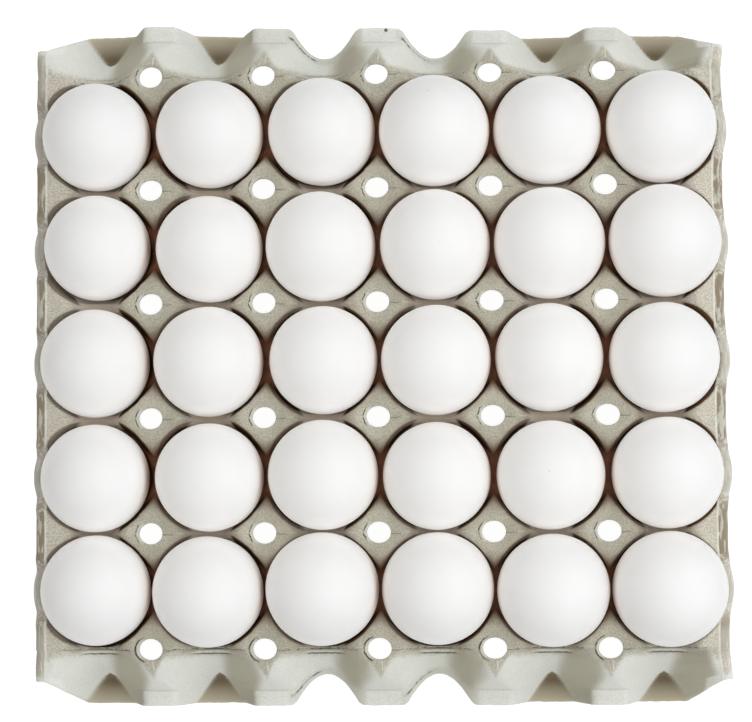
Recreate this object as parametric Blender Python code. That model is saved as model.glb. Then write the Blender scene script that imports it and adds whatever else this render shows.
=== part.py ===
"""Thirty hen's eggs standing in an open tray of moulded pulp.

The tray is one thin sheet of pulp, pressed into six by five cups.  Hollow posts
with a hole in the top stand where four cups meet.  A folded skirt runs down
along the two long sides, with a thumb notch on either side of its middle tab.
X runs along the skirts, Y across them and Z up, and the tray stands on its
cup feet at Z = 0.  Metres.
"""
import math
import random

import bmesh
import bpy
from mathutils import Euler, Vector
from mathutils.bvhtree import BVHTree

MM = 0.001

# The tray.
COLUMNS = 6
ROWS = 5
PITCH_X = 48.0 * MM
PITCH_Y = 48.4 * MM
TRAY_HEIGHT = 50.0 * MM
PULP = 2.2 * MM              # wall, measured square to the sheet
STEEPEST_WALL = 4.8 * MM     # most that a wall may measure straight down

# One cup, from its centre outwards, and the passes between neighbouring cups.
FOOT_RADIUS = 10.8 * MM
CUP_MID_RADIUS = 20.9 * MM
CUP_MID_HEIGHT = 30.0 * MM
CUP_MOUTH_RADIUS = 25.9 * MM
PASS_X = 33.0 * MM           # crest of a pass that runs along X
PASS_Y = 24.0 * MM           # crest of a pass that runs along Y
SIDE_PASS = 39.5 * MM        # crest along the two trimmed sides
PASS_HALF_TOP = 1.6 * MM
PASS_FALL = 2.1              # drop for each unit of width
POST_HALF = 7.0 * MM         # from a post's middle to where its top starts to fall
POST_TAPER = 4.6 * MM        # half-width of a pass where it leaves a post
PASS_START = 16.0 * MM       # distance from a post at which its pass is level
POST_HOLE = (9.4 * MM, 8.4 * MM)
HOLE_SIDES = 12

# The trimmed sides, whose crest swings out round each cup.  The lip curls down.
SIDE_AT_POST = 141.5 * MM
SIDE_AT_CUP = 145.4 * MM
LIP_WIDTH = (4.0 * MM, 3.0 * MM)     # at a post and at the middle of a cup
LIP_DROP = (6.5 * MM, 4.0 * MM)

# The skirt, as rows of points going outwards from the outermost line of posts:
# distance out, height, and half-width of the flat part there.
BUTTRESS = ((0.0, 50.0, 7.0), (6.0, 49.5, 4.6), (11.4, 43.5, 1.4),
            (15.0, 34.0, 4.0), (18.7, 23.5, 6.9), (25.5, 22.5, 6.7))
POCKET = ((0.0, 33.0, 8.0), (4.0, 28.0, 5.0), (8.6, 17.0, 2.8),
          (14.2, 2.6, 1.6), (18.9, 2.3, 5.4), (25.5, 2.2, 10.4))
NOTCH = ((0.0, 33.0, 8.0), (2.6, 31.0, 6.6), (5.0, 27.0, 5.6),
         (7.4, 23.6, 5.0), (9.4, 21.2, 4.6), (12.3, 20.4, 4.4))
CORNER = ((0.0, 48.0, 7.0), (3.6, 47.4, 6.2), (6.8, 46.0, 5.4),
          (9.4, 44.0, 4.6), (11.8, 41.4, 3.8), (14.0, 38.6, 3.0))
NOTCHED_COLUMNS = (2, 3)
BACK_TRIM = (1.04, 1.08, 1.01, 0.99, 0.91, 0.93, 0.90)   # the back skirt's depth at each line of posts

# The eggs.
EGG_WIDTH = 46.2 * MM
EGG_WIDTH_RISE = 0.23 * MM   # from each column to the next one on its right
EGG_WIDTH_FRONT = 0.95 * MM  # more in the front row
EGG_WIDTH_SPREAD = 0.85 * MM
EGG_LENGTH_RATIO = 1.27
EGG_LENGTH_SPREAD = 0.025
EGG_TAPER = 0.11             # how much fuller the blunt upper end is
EGG_TILT = math.radians(3.5)
EGG_DRIFT = (0.36 * MM, -0.45 * MM)
EGG_DRIFT_FRONT = 0.6 * MM   # how much further back the front row sits
EGG_SHIFT = (0.6 * MM, 0.65 * MM)
EGG_SIDES = 10
EGG_RINGS = 7
SEAT_GAP = 0.7 * MM          # straight down, between an egg and its cup
SEEDS = {"width": 7307367, "x": 4654408, "y": 9332173, "shape": 30}

PULP_COLOUR = (0.56, 0.53, 0.46, 1.0)
SHELL_COLOUR = (0.90, 0.87, 0.85, 1.0)


def material(name, colour, roughness):
    """Make a Principled material of one colour."""
    made = bpy.data.materials.new(name)
    made.use_nodes = True
    shader = made.node_tree.nodes["Principled BSDF"]
    shader.inputs["Base Color"].default_value = colour
    shader.inputs["Roughness"].default_value = roughness
    shader.inputs["Metallic"].default_value = 0.0
    return made


def collection(name):
    """Make a collection in the scene."""
    made = bpy.data.collections.new(name)
    bpy.context.scene.collection.children.link(made)
    return made


def lerp(a, b, share):
    """Return the value that lies the given share of the way from a to b."""
    return a + (b - a) * share


def pass_height(along, crest):
    """Height of a pass's crest at a distance along it from its nearer post."""
    share = (along - POST_HALF) / (PASS_START - POST_HALF)
    return lerp(TRAY_HEIGHT, crest, min(max(share, 0.0), 1.0))


def pass_side(off, along, crest):
    """Height of a pass's flank at a distance off its crest line."""
    share = min(max((along - POST_HALF) / (PASS_START - POST_HALF), 0.0), 1.0)
    half_top = lerp(POST_TAPER, PASS_HALF_TOP, share)
    return pass_height(along, crest) - PASS_FALL * max(off - half_top, 0.0)


def cup_wall(radius):
    """Height of a cup's wall at a radius from the cup's centre."""
    if radius < FOOT_RADIUS:
        return PULP
    if radius < CUP_MID_RADIUS:
        share = (radius - FOOT_RADIUS) / (CUP_MID_RADIUS - FOOT_RADIUS)
        return lerp(PULP, CUP_MID_HEIGHT, share)
    share = (radius - CUP_MID_RADIUS) / (CUP_MOUTH_RADIUS - CUP_MID_RADIUS)
    return lerp(CUP_MID_HEIGHT, TRAY_HEIGHT, share)


def cup_height(from_post_x, from_post_y, crest_y):
    """Height of the sheet in a cup, by the distances from its nearest post."""
    radius = math.hypot(PITCH_X / 2 - from_post_x, PITCH_Y / 2 - from_post_y)
    along_x = pass_side(from_post_y, from_post_x, PASS_X)
    along_y = pass_side(from_post_x, from_post_y, crest_y)
    return min(cup_wall(radius), max(along_x, along_y, PULP))


def stations(pitch):
    """Distances across one cup at which the sheet has its lines of points."""
    return (0.0, POST_HALF, PASS_START, pitch - PASS_START, pitch - POST_HALF)


def cup_lines(count, pitch):
    """Lines of points across all the cups: place, distance from a post, cup."""
    start = -count * pitch / 2
    lines = [(start + cup * pitch + step, min(step, pitch - step), cup)
             for cup in range(count) for step in stations(pitch)]
    return lines + [(-start, 0.0, count - 1)]


def skirt_point(column, step_index, row):
    """Point of the skirt over a cup: distance from the cup's first post, out, height."""
    near_start = step_index < 3
    at_corner = (column == 0 and near_start) or (column == COLUMNS - 1 and not near_start)
    ridge = (CORNER if at_corner else BUTTRESS)[row]
    valley = (NOTCH if column in NOTCHED_COLUMNS else POCKET)[row]
    ridge_out, ridge_height, ridge_half = (value * MM for value in ridge)
    valley_out, valley_height, valley_half = (value * MM for value in valley)
    if step_index in (0, 5):
        across, out, height = 0.0, ridge_out, ridge_height
    elif step_index in (1, 4):
        across, out, height = ridge_half, ridge_out, ridge_height
    else:
        across, out, height = PITCH_X / 2 - valley_half, valley_out, valley_height
    return across if near_start else PITCH_X - across, out, height


def skirt_row(row):
    """Points of one row of the skirt, from one trimmed side to the other."""
    start = -COLUMNS * PITCH_X / 2
    points = []
    for column in range(COLUMNS):
        for step_index in range(5):
            across, out, height = skirt_point(column, step_index, row)
            points.append((start + column * PITCH_X + across, out, height))
    across, out, height = skirt_point(COLUMNS - 1, 5, row)
    return points + [(-start, out, height)]


def cup_rows():
    """Rows of points over all the cups, from the front posts to the back posts."""
    rows = []
    for y, from_post_y, _ in cup_lines(ROWS, PITCH_Y):
        row = []
        for x, from_post_x, column in cup_lines(COLUMNS, PITCH_X):
            at_side = column in (0, COLUMNS - 1) and abs(x) > (COLUMNS - 1) * PITCH_X / 2
            crest_y = SIDE_PASS if at_side else PASS_Y
            row.append((x, y, cup_height(from_post_x, from_post_y, crest_y)))
        swing = (from_post_y - POST_HALF) / (PASS_START - POST_HALF)
        rows.append(with_lips(row, min(max(swing, 0.0), 1.0)))
    return rows


def with_lips(row, bulge):
    """Place both trimmed ends of a row of points and add their curled lips."""
    side = lerp(SIDE_AT_POST, SIDE_AT_CUP, bulge)
    reach = side + lerp(*LIP_WIDTH, bulge)
    drop = lerp(*LIP_DROP, bulge)
    _, y, left_height = row[0]
    _, _, right_height = row[-1]
    left = [(-reach, y, left_height - drop), (-side, y, left_height)]
    right = [(side, y, right_height), (reach, y, right_height - drop)]
    return left + row[1:-1] + right


def back_depth(x):
    """Return how deep the back skirt is cut, compared with the front one."""
    place = min(max(x / PITCH_X + COLUMNS / 2, 0.0), COLUMNS - 0.001)
    first = int(place)
    return lerp(BACK_TRIM[first], BACK_TRIM[first + 1], place - first)


def sheet_rows():
    """All rows of points of the pulp sheet, from the front skirt to the back one."""
    edge = ROWS * PITCH_Y / 2
    front = []
    back = []
    for row in range(1, len(BUTTRESS)):
        points = skirt_row(row)
        front.insert(0, with_lips([(x, -edge - out, height) for x, out, height in points], 0.0))
        trimmed = [(x, edge + out * back_depth(x), height) for x, out, height in points]
        back.append(with_lips(trimmed, 0.0))
    return front + cup_rows() + back


def pulp_sheet(name):
    """Make the closed sheet: the upper face, the same one lowered, and their rim."""
    rows = sheet_rows()
    across = len(rows[0])
    mesh = bpy.data.meshes.new(name)
    bm = bmesh.new()
    bmesh.ops.create_grid(bm, x_segments=across - 1, y_segments=len(rows) - 1, size=1.0)
    bm.verts.ensure_lookup_table()
    points = [Vector(point) for row in rows for point in row]
    for vert, point in zip(bm.verts, points):
        vert.co = point
    bmesh.ops.triangulate(bm, faces=bm.faces[:], quad_method="SHORT_EDGE")
    bm.normal_update()
    drops = [min(PULP / max(vert.normal.z, 0.1), STEEPEST_WALL) for vert in bm.verts]
    rim = [edge for edge in bm.edges if edge.is_boundary]
    upper = bm.verts[:] + bm.edges[:] + bm.faces[:]
    copied = bmesh.ops.duplicate(bm, geom=upper)
    lower_verts = [item for item in copied["geom"] if isinstance(item, bmesh.types.BMVert)]
    lower_faces = [item for item in copied["geom"] if isinstance(item, bmesh.types.BMFace)]
    for vert, drop in zip(lower_verts, drops):
        vert.co.z = max(vert.co.z - drop, 0.0)
    bmesh.ops.reverse_faces(bm, faces=lower_faces)
    lower_rim = [edge for edge in bm.edges if edge.is_boundary and edge not in set(rim)]
    bmesh.ops.bridge_loops(bm, edges=rim + lower_rim)
    bmesh.ops.recalc_face_normals(bm, faces=bm.faces[:])
    bm.to_mesh(mesh)
    bm.free()
    return bpy.data.objects.new(name, mesh)


def hole_cutter(name):
    """Make one mesh of upright oval rods, one through the top of each post."""
    mesh = bpy.data.meshes.new(name)
    bm = bmesh.new()
    for row in range(ROWS + 1):
        for column in range(1, COLUMNS):
            rod = bmesh.ops.create_cone(bm, cap_ends=True, segments=HOLE_SIDES, radius1=0.5,
                                        radius2=0.5, depth=1.0)
            bmesh.ops.scale(bm, verts=rod["verts"], vec=(*POST_HOLE, 12.0 * MM))
            place = Vector(((column - COLUMNS / 2) * PITCH_X, (row - ROWS / 2) * PITCH_Y, TRAY_HEIGHT))
            bmesh.ops.translate(bm, verts=rod["verts"], vec=place)
    bm.to_mesh(mesh)
    bm.free()
    cutter = bpy.data.objects.new(name, mesh)
    cutter.hide_render = True
    cutter.display_type = "WIRE"
    return cutter


def egg_mesh(name, width, length):
    """Make an egg about its middle, with its blunt end up."""
    mesh = bpy.data.meshes.new(name)
    bm = bmesh.new()
    bmesh.ops.create_uvsphere(bm, u_segments=EGG_SIDES, v_segments=EGG_RINGS, radius=1.0)
    for vert in bm.verts:
        fullness = 1.0 + EGG_TAPER * vert.co.z - EGG_TAPER ** 2
        vert.co.x *= fullness * width / 2
        vert.co.y *= fullness * width / 2
        vert.co.z *= length / 2
    bm.to_mesh(mesh)
    bm.free()
    mesh.shade_smooth()
    return mesh


def clearance(verts, tree):
    """Least distance straight down from an egg's lower points to the cup, and back up."""
    gaps = []
    for point in verts:
        hit = tree.ray_cast(point, Vector((0.0, 0.0, -1.0)))[0]
        if hit:
            gaps.append(point.z - hit.z)
    return min(gaps)


def rise(cup_points, egg_tree):
    """Least distance straight up from points of the cup to an egg."""
    gaps = []
    for point in cup_points:
        hit = egg_tree.ray_cast(point, Vector((0.0, 0.0, 1.0)))[0]
        if hit:
            gaps.append(hit.z - point.z)
    return min(gaps, default=1.0)


def seat(egg, tray_mesh):
    """Lower an egg into its cup until it all but touches."""
    egg.location.z = TRAY_HEIGHT * 3
    turn = egg.rotation_euler.to_matrix()
    points = [turn @ vert.co + egg.location for vert in egg.data.vertices]
    faces = [tuple(face.vertices) for face in egg.data.polygons]
    tree = BVHTree.FromPolygons([vert.co for vert in tray_mesh.vertices],
                                [tuple(face.vertices) for face in tray_mesh.polygons])
    egg_tree = BVHTree.FromPolygons(points, faces)
    near = [vert.co for vert in tray_mesh.vertices
            if (vert.co.xy - egg.location.xy).length < EGG_WIDTH / 2]
    egg.location.z -= min(clearance(points, tree), rise(near, egg_tree)) - SEAT_GAP


def main():
    """Build the tray and its eggs."""
    for thing in list(bpy.data.objects):
        bpy.data.objects.remove(thing, do_unlink=True)
    parts = collection("egg_tray")
    cutters = collection("cutters")
    pulp = material("pulp", PULP_COLOUR, 0.95)
    shell = material("shell", SHELL_COLOUR, 0.6)

    tray = pulp_sheet("tray")
    tray.data.materials.append(pulp)
    parts.objects.link(tray)
    cutter = hole_cutter("post_holes")
    cutters.objects.link(cutter)
    cut = tray.modifiers.new("post holes", "BOOLEAN")
    cut.operation = "DIFFERENCE"
    cut.solver = "EXACT"
    cut.object = cutter

    chance = {use: random.Random(seed) for use, seed in SEEDS.items()}
    for row in range(ROWS):
        front = row == ROWS - 1
        for column in range(COLUMNS):
            name = f"egg_{row + 1}_{column + 1}"
            width = EGG_WIDTH + EGG_WIDTH_RISE * (column - (COLUMNS - 1) / 2) + EGG_WIDTH_FRONT * front
            width += EGG_WIDTH_SPREAD * chance["width"].uniform(-1.0, 1.0)
            ratio = EGG_LENGTH_RATIO + EGG_LENGTH_SPREAD * chance["shape"].uniform(-1.0, 1.0)
            egg = bpy.data.objects.new(name, egg_mesh(name, width, width * ratio))
            egg.data.materials.append(shell)
            heading = chance["shape"].uniform(0.0, 2.0 * math.pi)
            lean = EGG_TILT * chance["shape"].random()
            egg.rotation_euler = Euler((lean * math.cos(heading), lean * math.sin(heading), 0.0))
            shift_x = EGG_DRIFT[0] + EGG_SHIFT[0] * chance["x"].uniform(-1.0, 1.0)
            shift_y = EGG_DRIFT[1] + EGG_DRIFT_FRONT * front + EGG_SHIFT[1] * chance["y"].uniform(-1.0, 1.0)
            egg.location.x = (column - (COLUMNS - 1) / 2) * PITCH_X + shift_x
            egg.location.y = ((ROWS - 1) / 2 - row) * PITCH_Y + shift_y
            seat(egg, tray.data)
            parts.objects.link(egg)


main()
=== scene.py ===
import math
import random

import bmesh
import bpy
import numpy as np
from mathutils import Euler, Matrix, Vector, noise


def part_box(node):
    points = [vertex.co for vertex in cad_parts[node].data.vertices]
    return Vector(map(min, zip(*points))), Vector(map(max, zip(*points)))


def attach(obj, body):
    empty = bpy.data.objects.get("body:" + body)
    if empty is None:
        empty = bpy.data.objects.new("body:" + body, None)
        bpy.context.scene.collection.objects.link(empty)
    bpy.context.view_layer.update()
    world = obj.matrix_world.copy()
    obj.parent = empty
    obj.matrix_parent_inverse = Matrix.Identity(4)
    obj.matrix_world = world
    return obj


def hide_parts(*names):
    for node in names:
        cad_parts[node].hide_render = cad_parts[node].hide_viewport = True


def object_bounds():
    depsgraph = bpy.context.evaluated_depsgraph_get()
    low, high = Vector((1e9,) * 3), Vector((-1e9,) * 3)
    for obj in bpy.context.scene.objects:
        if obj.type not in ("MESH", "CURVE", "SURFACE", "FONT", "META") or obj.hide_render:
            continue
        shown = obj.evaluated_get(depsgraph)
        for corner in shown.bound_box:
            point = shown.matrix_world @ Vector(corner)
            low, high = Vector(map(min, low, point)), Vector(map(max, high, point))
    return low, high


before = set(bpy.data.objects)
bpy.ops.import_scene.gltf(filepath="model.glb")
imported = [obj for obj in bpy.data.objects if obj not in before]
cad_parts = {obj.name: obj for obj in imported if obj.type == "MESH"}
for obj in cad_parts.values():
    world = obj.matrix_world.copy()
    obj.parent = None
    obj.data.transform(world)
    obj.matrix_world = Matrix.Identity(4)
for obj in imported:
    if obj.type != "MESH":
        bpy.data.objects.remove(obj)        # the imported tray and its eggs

cadLow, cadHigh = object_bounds()
mm = 0.001


class Wire:                            # a shader socket that takes part in sums
    def __init__(self, graph, socket):
        self.graph = graph
        self.socket = socket

    def __add__(self, other):
        return self.graph.maths("ADD", self, other)

    def __sub__(self, other):
        return self.graph.maths("SUBTRACT", self, other)

    def __rsub__(self, other):
        return self.graph.maths("SUBTRACT", other, self)

    def __mul__(self, other):
        return self.graph.maths("MULTIPLY", self, other)

    def __truediv__(self, other):
        return self.graph.maths("DIVIDE", self, other)

    def __abs__(self):
        return self.graph.maths("ABSOLUTE", self)

    __radd__ = __add__
    __rmul__ = __mul__


class Graph:                           # the nodes of one material
    def __init__(self, name):
        self.material = bpy.data.materials.new(name)
        self.material.use_nodes = True
        self.tree = self.material.node_tree
        self.shader = self.tree.nodes["Principled BSDF"]

    def plug(self, socket, value):
        if isinstance(value, Wire):
            self.tree.links.new(value.socket, socket)
        elif socket.type == "RGBA":
            socket.default_value = (*value, 1.0)
        else:
            socket.default_value = value

    def node(self, kind, settings=None, sockets=None, out=0):
        made = self.tree.nodes.new(kind)
        for key, value in (settings or {}).items():
            setattr(made, key, value)
        for key, value in (sockets or {}).items():
            self.plug(made.inputs[key], value)
        return Wire(self, made.outputs[out])

    def maths(self, operation, first, second=0.0):
        return self.node("ShaderNodeMath", {"operation": operation}, {0: first, 1: second})

    def most(self, first, second):
        return self.maths("MAXIMUM", first, second)

    def root(self, value):
        return self.maths("SQRT", value)

    def value(self, attribute):
        return self.node("ShaderNodeAttribute", {"attribute_name": attribute}, out=2)

    def ramp(self, value, low, high):  # 0 below low, 1 above high, smooth between
        return self.node("ShaderNodeMapRange", {"interpolation_type": "SMOOTHSTEP"},
                         {"Value": value, "From Min": low, "From Max": high})

    def line(self, value, width):      # 1 where a value is near nought
        return 1.0 - self.ramp(abs(value), width * 0.4, width)

    def mix(self, share, first, second):
        return self.node("ShaderNodeMix", {"data_type": "RGBA"}, {"Factor": share, 6: first, 7: second}, 2)

    def place(self, scale=(1.0, 1.0, 1.0), turn=(0.0, 0.0, 0.0)):   # object coordinates in millimetres
        coords = self.node("ShaderNodeTexCoord", out=3)
        return self.node("ShaderNodeMapping", None, {
            "Vector": coords, "Scale": tuple(part / mm for part in scale), "Rotation": turn})

    def noise(self, place, scale, detail=2.0):
        return self.node("ShaderNodeTexNoise", None, {"Vector": place, "Scale": scale, "Detail": detail})

    def spots(self, place, scale, size):
        far = self.node("ShaderNodeTexVoronoi", None, {"Vector": place, "Scale": scale})
        return 1.0 - self.ramp(far, size * scale * 0.4, size * scale)

    def axes(self, place):
        return [self.node("ShaderNodeSeparateXYZ", None, {0: place}, out) for out in range(3)]

    def fromNearest(self, value, pitch, offset):   # signed distance from the nearest line of a row of them
        return (self.maths("FRACT", value / pitch + offset) - 0.5) * pitch

    def bump(self, height, strength, distance, under=None):
        sockets = {"Height": height, "Strength": strength, "Distance": distance}
        if under:
            sockets["Normal"] = under
        return self.node("ShaderNodeBump", None, sockets)

    def finish(self, colour, normal, fixed):
        self.plug(self.shader.inputs["Base Color"], colour)
        self.plug(self.shader.inputs["Normal"], normal)
        for key, value in fixed.items():
            self.plug(self.shader.inputs[key], value)
        return self.material


def lerp(first, second, share):
    return first + (second - first) * share


def smooth(share):
    share = np.clip(share, 0.0, 1.0)
    return share * share * (3.0 - 2.0 * share)


def softMax(first, second, width):
    return 0.5 * (first + second + np.sqrt((first - second) ** 2 + width ** 2))


def softMin(first, second, width):
    return -softMax(-first, -second, width)


def softStep(share, width):            # 0 to 1 in a straight line with both its bends rounded
    def bend(value):
        return 0.5 * (value + np.sqrt(value ** 2 + width ** 2))
    return np.clip(bend(share) - bend(share - 1.0), 0.0, 1.0)


# The tray, in millimetres.
tray = {
    "columns": 6, "rows": 5,
    "pitch": (48.0, 48.4),
    "height": 50.0,
    "wall": 2.2,                       # square to the sheet
    "steepWall": 4.8,                  # most that the wall measures straight down
    "stepsPerCup": 32,                 # mesh lines for each pitch
    "crowd": 0.4,                      # how much closer those lines stand near the posts
    "cupWall": ((0.0, 2.4), (10.2, 2.4), (20.6, 30.0), (24.1, 43.5), (24.9, 50.0), (26.0, 60.0)),
    "passX": 33.0, "passY": 24.0,      # crests of the passes between cups
    "sidePass": 39.5,
    "passStartSide": (7.0, 16.0),
    "passStartX": (9.0, 19.0),         # where a crest leaves a post's top and where it is level
    "passStartY": (8.5, 17.0),
    "passTop": (10.5, 0.85, 1.6),      # half-width of a pass: at its post, its taper, its least
    "passFall": 2.1, "passBend": 0.8,  # steepness of a pass's sides, and how its edge is rounded
    "soften": 1.2,
    "side": (141.5, 145.3),            # the trimmed side, at a post and beside a cup
    "sideSwing": (7.0, 23.0),          # distances from a post over which it swings out
    "sideFrom": 8.0,                   # how far beyond the last posts the sheet starts to swing with it
    "flare": 2.2,                      # how far the skirts' ends lean out
    "lipReach": (4.0, 3.0), "lipDrop": (6.5, 4.0), "lipSteps": 4,
    "hem": 1.5,                        # breadth of the torn strip above the curled sides
    "lump": (0.07, 5.0), "wave": (0.16, 30.0),     # unevenness: height and breadth
    "ragged": (2.4, 0.35),             # how far the torn sides and the cut skirts wander
    "tearGrain": (1.7, 6.0, 0.7),      # breadth of the fine and the broad tears, and the broad ones' share
}

# Rows of the skirt going outwards: distance out, height, half-width of the flat there.
skirt = {
    "steps": 20,
    "buttress": ((0, 50, 9), (6, 49.6, 4.8), (11.4, 43.6, 1.4),
                 (15, 34, 4), (18.7, 23.6, 6.9), (25.5, 22.5, 6.7)),
    "pocket": ((0, 33, 5), (4, 28, 5), (8.6, 17, 2.8), (14.2, 2.8, 1.6), (18.9, 2.5, 5.4), (25.5, 2.3, 10.4)),
    "notch": ((0, 33, 5), (2.6, 31, 6.6), (5, 27, 5.6), (7.4, 23.6, 5), (9.4, 21.2, 4.6), (12.3, 20.4, 4.4)),
    "corner": ((0, 48, 7), (3.6, 47.4, 6.2), (6.8, 46, 5.4),
               (9.4, 44, 4.2), (11.8, 41.4, 2.6), (14, 38.6, 0.6)),
    "notched": (2, 3),                 # columns whose pocket is cut out for a thumb
    "archHalf": 14.0,
    "bend": 0.05, "archBend": 0.12,    # how the skirt's and the thumb notches' bends are rounded
    "backTrim": (1.04, 1.08, 1.01, 0.99, 0.91, 0.93, 0.90),   # the back skirt's depth at each line of posts
}

postHole = {"half": (5.0, 4.45), "ring": 5, "reach": 10}    # half sizes; mesh lines from its middle


def crestHeight(along, start, crest):
    return lerp(tray["height"], crest, smooth((along - start[0]) / (start[1] - start[0])))


def passHeight(off, along, start, crest):
    widest, taper, least = tray["passTop"]
    halfTop = np.maximum(widest - taper * along, least)
    return crestHeight(along, start, crest) - tray["passFall"] * softMax(off - halfTop, 0.0, tray["passBend"])


def cupHeight(fromPostX, fromPostY, atSide):
    radius = np.hypot(tray["pitch"][0] / 2 - fromPostX, tray["pitch"][1] / 2 - fromPostY)
    wall = np.interp(radius, *zip(*tray["cupWall"]))
    alongX = passHeight(fromPostY, fromPostX, tray["passStartX"], tray["passX"])
    alongY = np.where(atSide, passHeight(fromPostX, fromPostY, tray["passStartSide"], tray["sidePass"]),
                      passHeight(fromPostX, fromPostY, tray["passStartY"], tray["passY"]))
    top = softMax(softMax(alongX, alongY, tray["soften"]), tray["wall"], tray["soften"])
    return np.minimum(softMin(wall, top, 0.5 * tray["soften"]), tray["height"])


def skirtSurface(x, share, back):      # distance out, height, and share of the way from ridge to valley
    pitch, columns = tray["pitch"][0], tray["columns"]
    place = np.clip(x / pitch + columns / 2, 0.0, columns - 1e-6)
    column = np.floor(place)
    first = (place - column) * pitch
    fromPost = np.minimum(first, pitch - first)
    corner = ((column == 0) & (first < pitch / 2)) | ((column == columns - 1) & (first > pitch / 2))
    notched = np.isin(column, skirt["notched"])

    def profile(name):
        rows = np.array(skirt[name], float)
        marks = np.linspace(0.0, 1.0, len(rows))
        return [np.interp(share, marks, rows[:, k]) for k in range(3)]

    ridge = [np.where(corner, a, b) for a, b in zip(profile("corner"), profile("buttress"))]
    valley = [np.where(notched, a, b) for a, b in zip(profile("notch"), profile("pocket"))]
    run = pitch / 2 - valley[2] - ridge[2]
    fall = softStep((fromPost - ridge[2]) / run, skirt["bend"])
    arch = softMin(((pitch / 2 - fromPost) / skirt["archHalf"]) ** 2, 1.0, skirt["archBend"])
    out = lerp(ridge[0], valley[0], np.where(notched, 1.0 - np.clip(arch, 0.0, 1.0), fall))
    if back:
        out = out * np.interp(place, range(columns + 1), skirt["backTrim"])
    return out, lerp(ridge[1], valley[1], fall), fall


def crowded(steps, crowd):             # pitches from a line of posts after so many mesh lines
    turn = 2.0 * math.pi / tray["stepsPerCup"]
    return (turn * steps - crowd * np.sin(turn * steps)) / (2.0 * math.pi)


def ringShift(stepsX, stepsY, fromPost):
    # Moves the square rings of mesh lines round a post onto ovals that match its hole.
    ring = np.maximum(np.abs(stepsX), np.abs(stepsY))
    turn = np.arctan2(stepsY * 1.0, stepsX * 1.0)
    grow = crowded(ring, tray["crowd"]) - crowded(postHole["ring"], tray["crowd"])
    square = smooth((ring - postHole["ring"]) / (postHole["reach"] - postHole["ring"]))
    moves = []
    for axis, along in enumerate((np.cos(turn), np.sin(turn))):
        oval = (postHole["half"][axis] + grow * tray["pitch"][axis]) * along
        moves.append(np.where(ring > 0, (oval - fromPost[axis]) * (1.0 - square), 0.0))
    return *moves, ring


def fromLines(place, pitch, count):    # distance from the nearest line of posts
    cell = place / pitch + count / 2
    return np.abs(cell - np.round(cell)) * pitch


def sheetPoints():
    # The upper face of the sheet as rows of points, in millimetres, which of them lie in a hole,
    # and how far each lies down the curled sides and the skirts and towards a skirt's valleys.
    columns, rows, steps = tray["columns"], tray["rows"], tray["stepsPerCup"]
    pitchX, pitchY = tray["pitch"]
    lip, down = tray["lipSteps"], skirt["steps"]
    acrossSteps, alongSteps = columns * steps, rows * steps
    stepX, stepY = np.meshgrid(np.arange(-lip, acrossSteps + lip + 1),
                               np.arange(-down, alongSteps + down + 1))
    insideX = np.clip(stepX, 0, acrossSteps)
    insideY = np.clip(stepY, 0, alongSteps)
    beyond = stepY - insideY           # mesh lines out over a skirt
    crowd = tray["crowd"] * (1.0 - smooth(np.abs(beyond) / postHole["reach"]))
    localX = (stepX + steps // 2) % steps - steps // 2
    localY = (insideY + steps // 2) % steps - steps // 2 + beyond
    holed = (stepX > steps // 2) & (stepX < acrossSteps - steps // 2)
    localPlaceX = crowded(localX, crowd) * pitchX
    localPlaceY = np.where(beyond == 0, crowded(localY, tray["crowd"]), localY / steps) * pitchY
    shiftX, shiftY, ring = ringShift(localX, localY, (localPlaceX, localPlaceY))
    shiftX, shiftY = shiftX * holed, shiftY * holed
    inHole = holed & (ring < postHole["ring"])

    x = (crowded(insideX, crowd) - columns / 2) * pitchX + shiftX
    y = (crowded(insideY, tray["crowd"]) + beyond / steps - rows / 2) * pitchY + shiftY
    edge = rows * pitchY / 2
    inCups = np.abs(y) <= edge + 1e-6
    atSide = np.abs(x) > (columns - 1) * pitchX / 2
    height = cupHeight(fromLines(x, pitchX, columns), fromLines(y, pitchY, rows), atSide)
    share = np.clip((np.abs(y) - edge) / (down / steps * pitchY), 0.0, 1.0)
    valley = np.zeros_like(share)
    for back in (False, True):
        out, low, fall = skirtSurface(x, share, back)
        here = ~inCups & ((y > 0) == back)
        y = np.where(here, (edge + out) * (1 if back else -1), y)
        height = np.where(here, low, height)
        valley = np.where(here, fall, valley)

    nearPost, farPost = tray["sideSwing"]
    swing = smooth((fromLines(np.clip(y, -edge, edge), pitchY, rows) - nearPost) / (farPost - nearPost))
    side = lerp(*tray["side"], swing) + tray["flare"] * share
    last = (columns - 1) * pitchX / 2 + tray["sideFrom"]
    stretch = (side - last) / (columns * pitchX / 2 - last)
    x = np.where(np.abs(x) > last, np.sign(x) * (last + (np.abs(x) - last) * stretch), x)
    hem = np.clip(1.0 - (side - np.abs(x)) / tray["hem"], 0.0, 1.0)
    curl = np.maximum(-stepX, stepX - acrossSteps).clip(0) / lip
    bow = np.sin(curl * math.pi / 2)
    x = x + np.sign(x) * lerp(*tray["lipReach"], swing) * bow
    height = height - lerp(*tray["lipDrop"], swing) * (1.0 - np.cos(curl * math.pi / 2))
    marks = {"curl": curl, "hem": hem, "down": share, "valley": valley}
    return np.stack([x, y, height], axis=-1), inHole, marks


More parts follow.
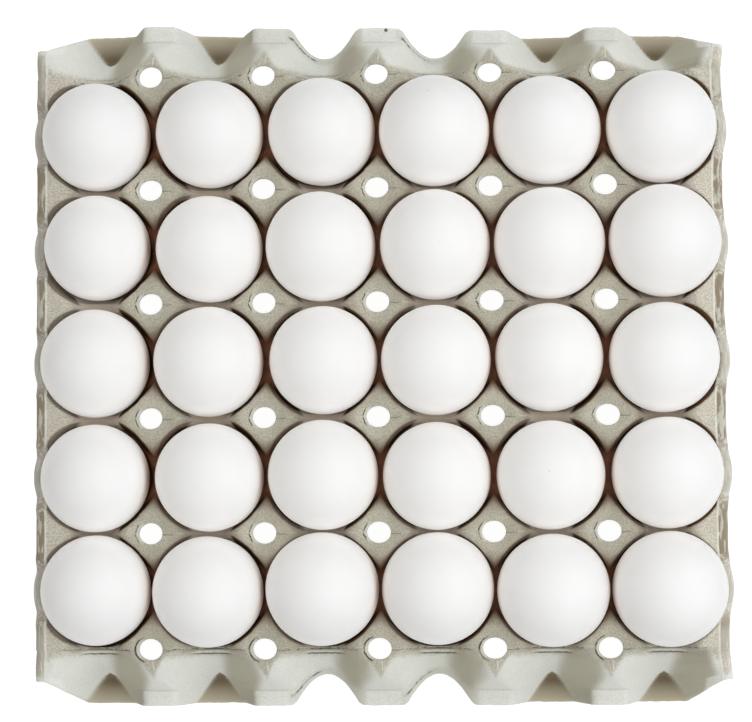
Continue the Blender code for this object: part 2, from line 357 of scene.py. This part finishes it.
def roughen(points, curl):
    # Small waves and lumps of pulp, and a torn edge.
    lump, wave = tray["lump"], tray["wave"]
    fineTear, broadTear, broadShare = tray["tearGrain"]
    waveAt = Vector((9, 3, 5))
    for row in range(points.shape[0]):
        for column in range(points.shape[1]):
            point = Vector(points[row, column])
            rise = lump[0] * noise.noise(point / lump[1]) + wave[0] * noise.noise(point / wave[1] + waveAt)
            points[row, column, 2] += rise
            torn = abs(noise.noise(point / fineTear) + broadShare * noise.noise(point / broadTear))
            if curl[row, column] == 1.0:
                points[row, column, 0] -= math.copysign(tray["ragged"][0] * torn, point.x)
            if row in (0, points.shape[0] - 1):
                points[row, column, 1] -= math.copysign(tray["ragged"][1] * torn, point.y)
    points[..., 2] = np.clip(points[..., 2], tray["wall"], cadHigh.z / mm)
    return points


def slantOf(points):                   # how far the sheet leans to +X, evened out over its neighbours
    alongY, alongX = np.gradient(points, axis=(0, 1))
    normal = np.cross(alongX, alongY)
    slant = normal[..., 0] / np.maximum(np.linalg.norm(normal, axis=-1), 1e-9)
    for turn in range(tint["evened"]):
        for axis in (0, 1):
            slant = (np.roll(slant, 1, axis) + 2.0 * slant + np.roll(slant, -1, axis)) / 4.0
    return slant


def addValues(mesh, name, values):     # values of the upper face, and none for what lies under it
    rest = np.zeros(len(mesh.vertices) - len(values))
    mesh.attributes.new(name, "FLOAT", "POINT").data.foreach_set("value", np.concatenate([values, rest]))


def pressTray(material):
    print("pressing the tray")
    points, inHole, marks = sheetPoints()
    points = roughen(points, marks["curl"])
    # painted shade: faces that turn away from the key lamp on +X are marked here, to be painted a darker
    # olive
    marks["shadeAwayFromKey"] = smooth((tint["awayShadeFrom"] - slantOf(points)) / tint["awayShadeOver"]) \
        * smooth(marks["down"] * tint["awayShadeRise"])
    bm = bmesh.new()
    bmesh.ops.create_grid(bm, x_segments=points.shape[1] - 1, y_segments=points.shape[0] - 1, size=1.0)
    for vert, point in zip(bm.verts, points.reshape(-1, 3)):
        vert.co = Vector(point) * mm
    bm.verts.ensure_lookup_table()
    bmesh.ops.delete(bm, geom=[bm.verts[k] for k in np.flatnonzero(inHole)], context="VERTS")
    bm.normal_update()
    drops = np.array([min(tray["wall"] / max(vert.normal.z, 0.1), tray["steepWall"]) * mm
                      for vert in bm.verts])
    mesh = bpy.data.meshes.new("pulpTray")
    bm.to_mesh(mesh)
    bm.free()
    piece = bpy.data.objects.new("pulpTray", mesh)
    bpy.context.scene.collection.objects.link(piece)

    shell = piece.modifiers.new("wall", "SOLIDIFY")
    shell.thickness, shell.offset, shell.use_rim = 0.1 * mm, -1.0, True
    solid = bpy.data.meshes.new_from_object(piece.evaluated_get(bpy.context.evaluated_depsgraph_get()))
    piece.modifiers.clear()
    piece.data = solid
    count = len(drops)
    places = np.empty(len(solid.vertices) * 3)
    solid.vertices.foreach_get("co", places)
    places = places.reshape(-1, 3)
    places[count:2 * count] = places[:count]
    places[count:2 * count, 2] = np.maximum(places[:count, 2] - drops, 0.0)
    solid.vertices.foreach_set("co", places.ravel())

    kept = {name: np.delete(values.ravel(), np.flatnonzero(inHole)) for name, values in marks.items()}
    kept["upper"] = np.ones(count)
    for name, values in kept.items():
        addValues(solid, name, values)
    solid.shade_smooth()
    solid.materials.append(material)
    return piece


# Where the pulp's tints begin and where they are full. Distances are in millimetres.
tint = {
    "deep": (49.0, 36.0),              # heights between which the cups are painted darker, as painted shade
    "pocket": (23.0, 13.0),            # the same painted shade for the skirts' pockets
    "pocketTip": (0.5, 40.0),          # how far down a pocket's tip lies, and how fast it widens
    "valley": (0.88, 0.985),           # shares of the way from a skirt's ridge to its valley
    # distances from a cup's middle
    "ring": (25.3, 24.5), "ringDark": (24.3, 23.7), "ringOuter": (24.5, 23.9),
    "ringHigh": (36.0, 40.0),          # the rings stay above this height
    "lit": (3.0, -12.0),               # the side of a cup that faces the key lamp
    "awayShadeFrom": -0.06, "awayShadeOver": 0.50, "awayShadeRise": 6.0, "evened": 8,
    # distances past the skirts' upper edge
    "inside": (1.5, -0.5), "within": (-3.0, -6.0), "sunkFrom": (-0.5, -4.0),
    "front": (112.0, 116.0),           # distance to the front
    "midCup": (9.5, 5.5),
    "postHigh": (44.0, 46.0),
    "notAtSides": (114.0, 112.0), "outerCups": (118.0, 124.0),    # distances to the left or right
    "sideRing": (126.0, 136.0), "pad": (116.0, 126.0),
    "pressed": ((1.0, 5.0), (9.0, 13.0)),
    "tab": ((0.77, 0.82), (8.4, 6.4)),
    "ridge": {"along": (9.0, 14.0), "across": (5.0, 3.0), "low": (43.0, 37.0)},
    "gapShade": {"across": (4.0, 2.5), "along": (8.0, 12.0), "low": (40.0, 30.0)},
    "strip": {"inner": (-3.0, -1.0), "outer": (2.2, 1.2), "along": (10.0, 15.0)},
    "torn": {"patch": (0.42, 0.50), "byCup": (8.0, 17.0), "nearSkirt": (-14.0, -4.0), "from": (0.55, 0.75)},
}

# Thin marks: where each lies, how wide it is, where it starts and stops, and how strong it is.
creases = {
    "chevron": {"out": 6.6, "slope": 0.42, "width": 0.34, "starts": (0.1, 0.6), "stops": (4.2, 2.8)},
    "crescent": {"radius": 6.2, "width": 0.45, "starts": (2.0, 3.6)},
    "seam": {"off": 0.5, "width": 0.28, "starts": (4.4, 5.2), "stops": (10.0, 8.0), "strength": 0.5},
    "fold": {"out": 0.3, "width": 0.34, "starts": (8.0, 10.0), "strength": 0.75},
    "pressLine": {"out": 2.6, "width": 0.42, "strength": 0.25, "moreInFront": 0.45},
    "tabLine": {"down": 0.8, "width": 0.018, "stops": (8.5, 6.5), "inside": (132.0, 128.0), "strength": 0.16},
    "flange": {"down": 0.88, "width": 0.024, "valley": (0.08, 0.25), "inside": (49.0, 47.0),
               "starts": (1.0, 5.0)},
    "nick": {"off": 0.9, "width": 0.34, "starts": (4.8, 5.4), "stops": (9.6, 8.6), "strength": 0.7},
    "crest": {"width": 0.45, "starts": (9.0, 12.0), "strength": 0.35},
    "step": {"out": 1.7, "width": 0.7, "strength": 0.15, "moreInFront": 0.4},
    "bend": {"at": 0.42, "width": 0.4, "strength": 0.5, "patches": 0.35},
    "ledge": {"starts": (2.5, 4.0), "radius": (6.1, 5.6), "strength": 0.35},
}

# How the pulp's surface is broken up: pattern scales for each millimetre, and bump strengths and depths.
texture = {
    "grain": 1.5, "blotch": 0.13, "cloud": 0.02, "patches": 0.35,
    "fibres": (((2.6, 0.4, 1.5), 0.7), ((0.4, 2.4, 1.5), 0.3)),
    "dashes": (0.24, 0.7, 0.7), "tears": (0.6, 0.13, 0.6),
    "wobble": (0.5, 1.6), "shiver": (1.1, 1.4),
    "fine": (0.6, 0.3), "coarse": (0.3, 0.9), "marks": (0.9, 0.5),
}

pulp = {
    "light": (0.63, 0.605, 0.515), "dark": (0.54, 0.52, 0.43),
    "grain": (0.28, 0.26, 0.20),
    # painted light on the outer skirts
    "pressed": (0.79, 0.81, 0.77),
    # painted shade on the faces turned away from the key lamp
    "shadeAwayFromKey": (0.48, 0.452, 0.345),
    "pad": (0.80, 0.765, 0.68), "tab": (0.86, 0.865, 0.82),
    # these three lines hold the colours of painted shade in the cups, pockets, rings and gaps, of painted
    # light on the ridges, and of the front strip
    "deep": (0.26, 0.105, 0.05), "pocket": (0.21, 0.16, 0.092), "pocketRim": (0.56, 0.51, 0.385),
    "wall": (0.10, 0.054, 0.025), "black": (0.015, 0.007, 0.003), "gapShade": (0.78, 0.37, 0.22),
    "ridge": (0.94, 0.84, 0.70), "strip": (0.40, 0.37, 0.285),
    "lip": (0.58, 0.565, 0.50), "lipByCup": (0.76, 0.755, 0.70),
    "torn": (0.30, 0.25, 0.17), "fringe": (0.20, 0.16, 0.11),
    "speck": (0.20, 0.17, 0.13),
    "crack": (0.04, 0.038, 0.03),
    "crease": (0.80, 0.80, 0.74),
    "pinhole": (3.0, 145.0),           # where one of the back tabs is pierced
}


def makePulp():
    graph = Graph("pulp")
    place = graph.place()
    upper, curl, hem, down, valley, shadeAwayFromKey = [
        graph.value(name) for name in ("upper", "curl", "hem", "down", "valley", "shadeAwayFromKey")]
    grain = graph.noise(place, texture["grain"], 4.0)
    fibres = graph.most(*[graph.noise(graph.place(scale, (0.0, 0.0, turn)), 1.0)
                          for scale, turn in texture["fibres"]])
    blotch = graph.noise(place, texture["blotch"])
    cloud = graph.noise(place, texture["cloud"])
    wobble = (graph.noise(place, texture["wobble"][0], 1.0) - 0.5) * texture["wobble"][1]
    shiver = (graph.noise(place, texture["shiver"][0], 2.0) - 0.5) * texture["shiver"][1]
    patchy = graph.ramp(graph.noise(place, texture["patches"], 1.0), 0.38, 0.55)
    dashes = graph.ramp(graph.noise(graph.place(texture["dashes"]), 1.0, 2.0), 0.46, 0.56)

    # places from the nearest post, from the nearest cup and from the skirts' upper edge
    x, y, z = graph.axes(place)
    postX = graph.fromNearest(x, tray["pitch"][0], 0.5)
    postY = graph.fromNearest(y, tray["pitch"][1], 0.0)
    cupX = graph.fromNearest(x, tray["pitch"][0], 0.0)
    cupY = graph.fromNearest(y, tray["pitch"][1], 0.5)
    besideX, besideY = abs(postX), abs(postY)
    fromCup = graph.root(cupX * cupX + cupY * cupY)
    fromEdge = abs(y) - tray["rows"] * tray["pitch"][1] / 2
    inside = upper * graph.ramp(fromEdge, *tint["inside"])
    within = upper * graph.ramp(fromEdge, *tint["within"])
    front = graph.ramp(0.0 - y, *tint["front"])
    midCup = graph.ramp(abs(cupX) + wobble, *tint["midCup"])
    onPost = graph.ramp(z, *tint["postHigh"]) * graph.ramp(abs(x), *tint["notAtSides"])
    around = graph.root(postX * postX * 0.9 + postY * postY * 1.25)

    # dark marks: cracks by the holes, seams, lines where the press folded the pulp, and painted shade in the
    # tabs' inner creases and along the thumb notches' flanges
    look = creases["chevron"]
    chevron = postX + look["out"] - besideY * look["slope"] + wobble * 0.6 + shiver * 0.5
    chevron = graph.line(chevron, look["width"])
    chevron = chevron * graph.ramp(besideY, *look["stops"]) * graph.ramp(besideY, *look["starts"])
    look = creases["crescent"]
    crescent = graph.line(around - look["radius"] + wobble * 0.3 + shiver * 0.3, look["width"])
    crescent = crescent * graph.ramp(0.0 - postX, *look["starts"])
    split = graph.most(chevron * (1.0 - front), crescent * front)
    look = creases["seam"]
    seam = graph.line(postY + look["off"] + wobble * 0.5, look["width"]) * look["strength"]
    seam = seam * graph.ramp(postX, *look["starts"]) * graph.ramp(postX, *look["stops"])
    marks = graph.most(split * (patchy * 0.5 + 0.45), seam) * onPost
    look = creases["fold"]
    fold = graph.line(fromEdge - look["out"] + wobble * 0.9 + shiver * 0.4, look["width"])
    fold = fold * graph.ramp(besideX, *look["starts"]) * dashes * look["strength"]
    look = creases["pressLine"]
    pressLine = graph.line(fromEdge - look["out"] + wobble * 0.4 + shiver * 0.3, look["width"])
    pressLine = pressLine * midCup * (front * look["moreInFront"] + look["strength"])
    # painted shade in the crease along the inner edge of each tab
    look = creases["tabLine"]
    tabLine = graph.line(down - look["down"] + wobble * 0.006, look["width"]) * look["strength"]
    tabLine = tabLine * graph.ramp(besideX, *look["stops"]) * graph.ramp(abs(x), *look["inside"])
    # painted shade along the steep flange on the left side of each thumb notch
    look = creases["flange"]
    flange = graph.line(down - look["down"] + wobble * 0.012, look["width"])
    flange = flange * graph.ramp(valley, *look["valley"])
    flange = flange * graph.ramp(abs(x), *look["inside"]) * graph.ramp(0.0 - cupX, *look["starts"])
    for mark in (fold, pressLine, tabLine, flange * (patchy * 0.6 + 0.2)):
        marks = graph.most(marks, mark)

    # light marks: nicks by the edge holes, crests, ledges in the holes, and the bend along the torn sides
    look = creases["nick"]
    light = graph.line(postX - look["off"] + wobble * 0.2, look["width"]) * look["strength"]
    light = light * graph.ramp(fromEdge, *look["starts"]) * graph.ramp(fromEdge, *look["stops"])
    look = creases["crest"]
    crest = graph.line(postY + wobble * 0.3, look["width"]) * graph.ramp(besideX, *look["starts"])
    crest = crest * patchy * look["strength"]
    look = creases["step"]
    step = graph.line(fromEdge - look["out"] + wobble * 0.4, look["width"])
    step = step * midCup * (front * look["moreInFront"] + look["strength"])
    look = creases["bend"]
    bend = graph.line(hem - look["at"] + wobble * 0.08, look["width"])
    bend = bend * (look["strength"] + patchy * look["patches"])
    look = creases["ledge"]
    ledge = graph.ramp(0.0 - postX, *look["starts"]) * graph.ramp(around, *look["radius"])
    for mark in (crest, step, bend, ledge * look["strength"] * onPost):
        light = graph.most(light, mark)

    colour = graph.mix(graph.ramp(blotch, 0.3, 0.7), pulp["dark"], pulp["light"])
    colour = graph.mix(graph.ramp(abs(x), *tint["pad"]) * 0.6, colour, pulp["pad"])
    # painted light: the outer skirts are painted lighter, as if lit by the bright surroundings, and their
    # grain is fainter there
    outside, offPost = tint["pressed"]
    pressed = graph.ramp(fromEdge + wobble, *outside) \
        * graph.ramp(fromEdge * 0.9 + besideX * 1.6 + wobble, *offPost)
    # painted light: the tabs' open tops are painted lighter, as they catch more light than the post tops
    # among the eggs
    low, half = tint["tab"]
    litTab = graph.ramp(down, *low) * graph.ramp(besideX + wobble * 0.3, *half)
    colour = graph.mix(pressed * 0.85, colour, pulp["pressed"])
    # painted shade on the faces turned away from the key lamp
    colour = graph.mix(shadeAwayFromKey * 0.85, colour, pulp["shadeAwayFromKey"])
    colour = graph.mix(litTab * 0.7, colour, pulp["tab"])
    colour = graph.mix(graph.ramp(grain, 0.60, 0.36) * (0.5 - pressed * 0.35), colour, pulp["grain"])
    colour = graph.mix(graph.ramp(cloud, 0.4, 0.7) * 0.15, colour, pulp["dark"])

    # painted shade and light: the cups are painted darker downwards, and between the eggs the ridges are
    # painted lighter and the gaps a red-brown shade
    # painted light: the ridges between the eggs are painted lighter, against the shade the eggs cast on them,
    # and the cups' painted shade is held off them
    look = tint["ridge"]
    onRidge = graph.ramp(besideX, *look["along"]) * graph.ramp(besideY, *look["across"])
    colour = graph.mix(onRidge * graph.ramp(z, *look["low"]) * within, colour, pulp["ridge"])
    sunkShade = graph.ramp(z, *tint["deep"]) * graph.ramp(fromEdge, *tint["sunkFrom"]) * upper
    sunkShade = sunkShade * (1.0 - onRidge * 0.92) * (1.0 - graph.ramp(abs(x), *tint["outerCups"]) * 0.8)
    colour = graph.mix(sunkShade, colour, pulp["deep"])
    # painted shade: the deep gaps between eggs of a row are painted a warm red-brown, for the shade there and
    # the warm light bounced into it
    look = tint["gapShade"]
    onGap = graph.ramp(besideX, *look["across"]) * graph.ramp(besideY, *look["along"])
    colour = graph.mix(onGap * graph.ramp(z, *look["low"]) * inside, colour, pulp["gapShade"])
    look = tint["strip"]
    strip = graph.ramp(fromEdge, *look["inner"]) * graph.ramp(fromEdge + wobble * 0.4, *look["outer"])
    colour = graph.mix(strip * graph.ramp(besideX, *look["along"]) * front * 0.75, colour, pulp["strip"])

    # painted shade: dark rings round the eggs where the cups' walls lie in shade, less dark on the side
    # facing the key lamp, and dark lines beside the ridges and the gaps
    high = graph.ramp(z, *tint["ringHigh"]) * inside
    lit = graph.ramp(cupX, *tint["lit"])
    ring = graph.ramp(fromCup + shiver * 0.2, *tint["ring"]) * high * (1.0 - lit * 0.3)
    colour = graph.mix(ring, colour, pulp["wall"])
    besideRidge = graph.ramp(besideY - graph.ramp(besideX, 16.0, 10.0) * 2.2, 1.8, 2.3) \
        * graph.ramp(besideX, 9.0, 11.0) * within
    besideGap = graph.ramp(besideX - graph.ramp(besideY, 15.0, 10.0) * 2.0, 1.3, 1.7) \
        * graph.ramp(besideY, 9.0, 12.0) * inside
    outer = graph.ramp(fromCup + shiver * 0.2, *tint["ringOuter"]) * graph.ramp(fromEdge, -5.0, -3.0) * inside
    black = graph.ramp(fromCup + lit * 0.3, *tint["ringDark"]) * high
    for mark in (outer, besideRidge * 0.4, besideGap * 0.25):
        black = graph.most(black, mark)
    black = black * (1.0 - graph.ramp(abs(x), *tint["sideRing"]) * 0.75)
    colour = graph.mix(black * 0.96, colour, pulp["black"])

    # painted shade: the skirts' pockets are painted dark olive, darkest at their tips, where the buttresses
    # shade them
    pocket = graph.ramp(valley + shiver * 0.02, *tint["valley"]) * graph.ramp(z, *tint["pocket"]) * upper
    pocketColour = graph.mix(graph.ramp(down, 0.64, 1.0), pulp["pocket"], pulp["pocketRim"])
    tipAt, widens = tint["pocketTip"]
    tip = graph.ramp((down - tipAt) * widens - abs(cupX), 0.0, 1.5)
    colour = graph.mix(pocket * tip * 0.95, colour, pocketColour)

    # the torn sides
    look = tint["torn"]
    tear = graph.ramp(graph.noise(graph.place(texture["tears"]), 1.0, 3.0), *look["patch"])
    tear = tear * (1.0 - graph.ramp(besideY, *look["byCup"]) * 0.75)
    tear = tear * (1.0 - graph.ramp(fromEdge, *look["nearSkirt"]) * 0.7)
    lip = graph.mix(graph.ramp(besideY, 9.0, 16.0) * 0.8, pulp["lip"], pulp["lipByCup"])
    lip = graph.mix(tear, lip, pulp["torn"])
    lip = graph.mix(graph.ramp(curl, 0.75, 0.95) * patchy * 0.7, lip, pulp["fringe"])
    onLip = graph.ramp(hem + shiver * 0.15, *look["from"]) * (1.0 - graph.ramp(fromEdge, 0.0, 5.0) * 0.8)
    colour = graph.mix(onLip * 0.9, colour, lip)

    colour = graph.mix(graph.spots(place, 0.14, 0.35) * 0.5, colour, pulp["speck"])
    colour = graph.mix(light, colour, pulp["crease"])
    colour = graph.mix(marks * 0.9, colour, pulp["crack"])
    offX, offY = x - pulp["pinhole"][0], y - pulp["pinhole"][1]
    colour = graph.mix(graph.ramp(graph.root(offX * offX + offY * offY), 1.0, 0.6), colour, pulp["speck"])

    normal = None
    heights = (("fine", grain * 0.8 + fibres * 0.4), ("coarse", blotch), ("marks", light * 0.6 - marks))
    for name, height in heights:
        strength, depth = texture[name]
        normal = graph.bump(height, strength, depth * mm, normal)
    return graph.finish(colour, normal, {
        "Roughness": 0.94, "Specular IOR Level": 0.05, "Diffuse Roughness": 1.0})


# The eggs, in millimetres.
egg = {
    # all but "shape" were found by a program, in a search through some 16 million seeds each, for draws
    # that come near the measured widths and places of the real eggs
    "seeds": {"width": 7307367, "x": 4654408, "y": 9332173, "shape": 30},
    "width": 46.2, "widthSpread": 0.85,
    "widthRise": 0.23, "widthFront": 0.95,     # more from column to column, and more in the front row
    "ratio": 1.27, "ratioSpread": 0.025,
    "taper": 0.11, "taperSpread": 0.02,
    "tilt": math.radians(3.5),
    "drift": (0.36, -0.45), "driftFront": 0.6,
    "shift": (0.6, 0.65),
    "sides": 72, "rings": 48,
    "dent": 0.10,
    "rim": (0.46, 0.14),               # heights, for a ball of radius 1, between which the sides darken
    "rimAcross": 0.3,                  # how much of that is left towards the next row
}

shell = {
    "white": (0.96, 0.95, 0.94), "crown": (0.85, 0.845, 0.84), "mottle": (0.86, 0.85, 0.84),
    "shade": (0.91, 0.88, 0.85), "warm": (0.90, 0.80, 0.71), "speck": (0.32, 0.27, 0.22),
    "glow": (1.0, 0.955, 0.91), "glowWarm": (1.0, 0.86, 0.72),
    "rim": (0.34, 0.19, 0.12),
    "glowTop": (68.0, 50.0), "glowFoot": (40.0, 47.0),  # heights between which the glow fades
    "crownAt": (56.0, 72.0),
}


def rimShade(unit, column):            # how much a point of a shell lies in the dark of the next egg
    last = tray["columns"] - 1
    facing = unit.x ** 2 / max(unit.x ** 2 + unit.y ** 2, 1e-9)
    outer = (column == 0 and unit.x < 0.0) or (column == last and unit.x > 0.0)
    high, low = egg["rim"]
    share = (0.0 if outer else facing ** 4) + egg["rimAcross"] * (1.0 - facing) ** 4
    return smooth((high - unit.z) / (high - low)) * share


def layEgg(name, row, column, chance, material):
    fromMiddle = column - (tray["columns"] - 1) / 2
    front = row == tray["rows"] - 1
    width = egg["width"] + egg["widthRise"] * fromMiddle + egg["widthFront"] * front
    width += egg["widthSpread"] * chance["width"].uniform(-1.0, 1.0)
    ratio = egg["ratio"] + egg["ratioSpread"] * chance["shape"].uniform(-1.0, 1.0)
    heading = chance["shape"].uniform(0.0, 2.0 * math.pi)
    lean = egg["tilt"] * chance["shape"].random()
    x = fromMiddle * tray["pitch"][0] + egg["drift"][0] + egg["shift"][0] * chance["x"].uniform(-1.0, 1.0)
    y = ((tray["rows"] - 1) / 2 - row) * tray["pitch"][1] + egg["drift"][1] + egg["driftFront"] * front
    y += egg["shift"][1] * chance["y"].uniform(-1.0, 1.0)
    own = random.Random(name)
    taper = egg["taper"] + egg["taperSpread"] * own.uniform(-1.0, 1.0)
    apart = Vector((row * 7.0, column * 5.0, 3.0))

    bm = bmesh.new()
    bmesh.ops.create_uvsphere(bm, u_segments=egg["sides"], v_segments=egg["rings"], radius=1.0)
    turn = Euler((lean * math.cos(heading), lean * math.sin(heading), 0.0)).to_matrix()
    rims = [rimShade(vert.co, column) for vert in bm.verts]
    for vert in bm.verts:
        fullness = 1.0 + taper * vert.co.z - taper ** 2
        dent = egg["dent"] * (noise.noise(vert.co * 2.0 + apart) - 0.5)
        out = Vector((vert.co.x * fullness, vert.co.y * fullness, vert.co.z * ratio)) * width / 2
        vert.co = turn @ (out + out.normalized() * dent)
    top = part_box(name)[1].z / mm
    rise = top - max(vert.co.z for vert in bm.verts)
    bmesh.ops.translate(bm, verts=bm.verts[:], vec=Vector((x, y, rise)))
    bmesh.ops.scale(bm, verts=bm.verts[:], vec=Vector((mm, mm, mm)))
    mesh = bpy.data.meshes.new("shell_" + name)
    bm.to_mesh(mesh)
    bm.free()
    addValues(mesh, "rim", rims)
    mesh.shade_smooth()
    mesh.materials.append(material)
    piece = bpy.data.objects.new("shell_" + name, mesh)
    bpy.context.scene.collection.objects.link(piece)
    return piece


def makeShell():
    graph = Graph("shell")
    place = graph.place()
    x, y, z = graph.axes(place)
    pores = graph.noise(place, 2.4)
    mottle = graph.noise(place, 0.16, 3.0)
    cupX = graph.fromNearest(x, tray["pitch"][0], 0.0)
    cupY = graph.fromNearest(y, tray["pitch"][1], 0.5)
    rim = graph.value("rim")
    # painted light: warm light bounced from the pulp and the next eggs is painted on the low sides of each
    # shell
    beside = graph.ramp(abs(cupX), 16.0, 23.0) * (1.0 - graph.ramp(z, 47.0, 60.0))
    # painted shade: the eggs' crowns, where the key light falls most, are painted greyer
    colour = graph.mix(graph.ramp(z, *shell["crownAt"]), shell["white"], shell["crown"])
    colour = graph.mix(graph.ramp(mottle, 0.35, 0.75) * 0.2, colour, shell["mottle"])
    colour = graph.mix(graph.ramp(0.0 - cupX, 2.0, 20.0) * 0.6, colour, shell["shade"])
    colour = graph.mix(graph.ramp(0.0 - cupY, 6.0, 22.0) * 0.4, colour, shell["shade"])
    colour = graph.mix(beside * 0.6, colour, shell["warm"])
    colour = graph.mix(rim * 0.85, colour, shell["rim"])
    colour = graph.mix(graph.spots(place, 0.03, 0.35) * 0.6, colour, shell["speck"])
    # painted light: the lower shell glows, warmer at its sides, as though lit through the shell
    glow = graph.mix(graph.ramp(abs(cupX), 17.0, 23.0) * 0.7, shell["glow"], shell["glowWarm"])
    glowing = graph.ramp(z, *shell["glowTop"]) * graph.ramp(z, *shell["glowFoot"]) * (1.0 - rim)
    glow = graph.mix(glowing, (0.0, 0.0, 0.0), glow)
    graph.plug(graph.shader.inputs["Emission Color"], glow)
    normal = graph.bump(pores + mottle * 0.6, 0.15, 0.25 * mm)
    return graph.finish(colour, normal, {
        "Emission Strength": 0.165,        # painted glow, standing in for the light that comes through the shell
        "Roughness": 0.55, "Specular IOR Level": 0.25, "Diffuse Roughness": 1.0, "Subsurface Weight": 1.0,
        "Subsurface Radius": (1.0, 0.93, 0.88), "Subsurface Scale": 45.0 * mm,
        "Sheen Weight": 0.35, "Sheen Roughness": 0.35})


studio = {
    "sky": (1.0, 0.99, 0.97), "skyStrength": 0.51,
    "lamps": {
        "key": {"place": (1.05, 0.0, 1.45), "size": (0.9, 3.6), "power": 24.0, "colour": (0.97, 0.985, 1.0)},
        "top": {"place": (0.0, 0.0, 1.5), "size": (0.8, 0.8), "power": 2.6, "colour": (1.0, 1.0, 1.0)},
    },
    "floorColour": (0.2, 0.2, 0.2), "floorGlow": 0.95, "floorSize": 3.0,
    "cameraPlace": (58.412, -71.536, 1080.392),
    "cameraTurn": (3.892, 3.311, -0.388),
    "lens": 118.02,
}


def lightStudio():
    print("setting up the studio")
    scene = bpy.context.scene
    scene.view_settings.view_transform = "Standard"
    lens = bpy.data.cameras.new("camera")
    lens.lens = studio["lens"]
    lens.sensor_fit, lens.sensor_width = "HORIZONTAL", 36.0
    lens.clip_end = 20.0
    camera = bpy.data.objects.new("camera", lens)
    camera.location = Vector(studio["cameraPlace"]) * mm
    camera.rotation_euler = Euler([math.radians(angle) for angle in studio["cameraTurn"]])
    scene.collection.objects.link(camera)
    scene.camera = camera

    world = bpy.data.worlds.new("sky")
    world.use_nodes = True
    background = world.node_tree.nodes["Background"]
    background.inputs["Color"].default_value = (*studio["sky"], 1.0)
    background.inputs["Strength"].default_value = studio["skyStrength"]
    scene.world = world

    for name, lamp in studio["lamps"].items():
        light = bpy.data.lights.new(name, "AREA")
        light.shape, light.energy, light.color = "RECTANGLE", lamp["power"], lamp["colour"]
        light.size, light.size_y = lamp["size"]
        hung = bpy.data.objects.new(name, light)
        hung.location = lamp["place"]
        hung.rotation_euler = (0.0, math.atan2(lamp["place"][0], lamp["place"][2]), 0.0)
        scene.collection.objects.link(hung)

    graph = Graph("floor")
    graph.plug(graph.shader.inputs["Base Color"], studio["floorColour"])
    graph.plug(graph.shader.inputs["Emission Color"], (1.0, 1.0, 1.0))
    graph.plug(graph.shader.inputs["Emission Strength"], studio["floorGlow"])
    graph.plug(graph.shader.inputs["Roughness"], 0.9)
    bm = bmesh.new()
    bmesh.ops.create_grid(bm, x_segments=1, y_segments=1, size=studio["floorSize"])
    bmesh.ops.translate(bm, verts=bm.verts[:], vec=Vector((0.0, 0.0, -0.1 * mm)))
    mesh = bpy.data.meshes.new("floor")
    bm.to_mesh(mesh)
    bm.free()
    mesh.materials.append(graph.material)
    floor = bpy.data.objects.new("floor", mesh)
    floor.visible_diffuse = False      # its glow is a white backdrop, not a light
    scene.collection.objects.link(floor)


lightStudio()
pulpTray = pressTray(makePulp())
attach(pulpTray, "root")
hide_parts("tray")

print("laying the eggs")
shellFinish = makeShell()
chance = {use: random.Random(seed) for use, seed in egg["seeds"].items()}
for row in range(tray["rows"]):
    for column in range(tray["columns"]):
        name = f"egg_{row + 1}_{column + 1}"
        laid = layEgg(name, row, column, chance, shellFinish)
        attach(laid, "root")
        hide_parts(name)
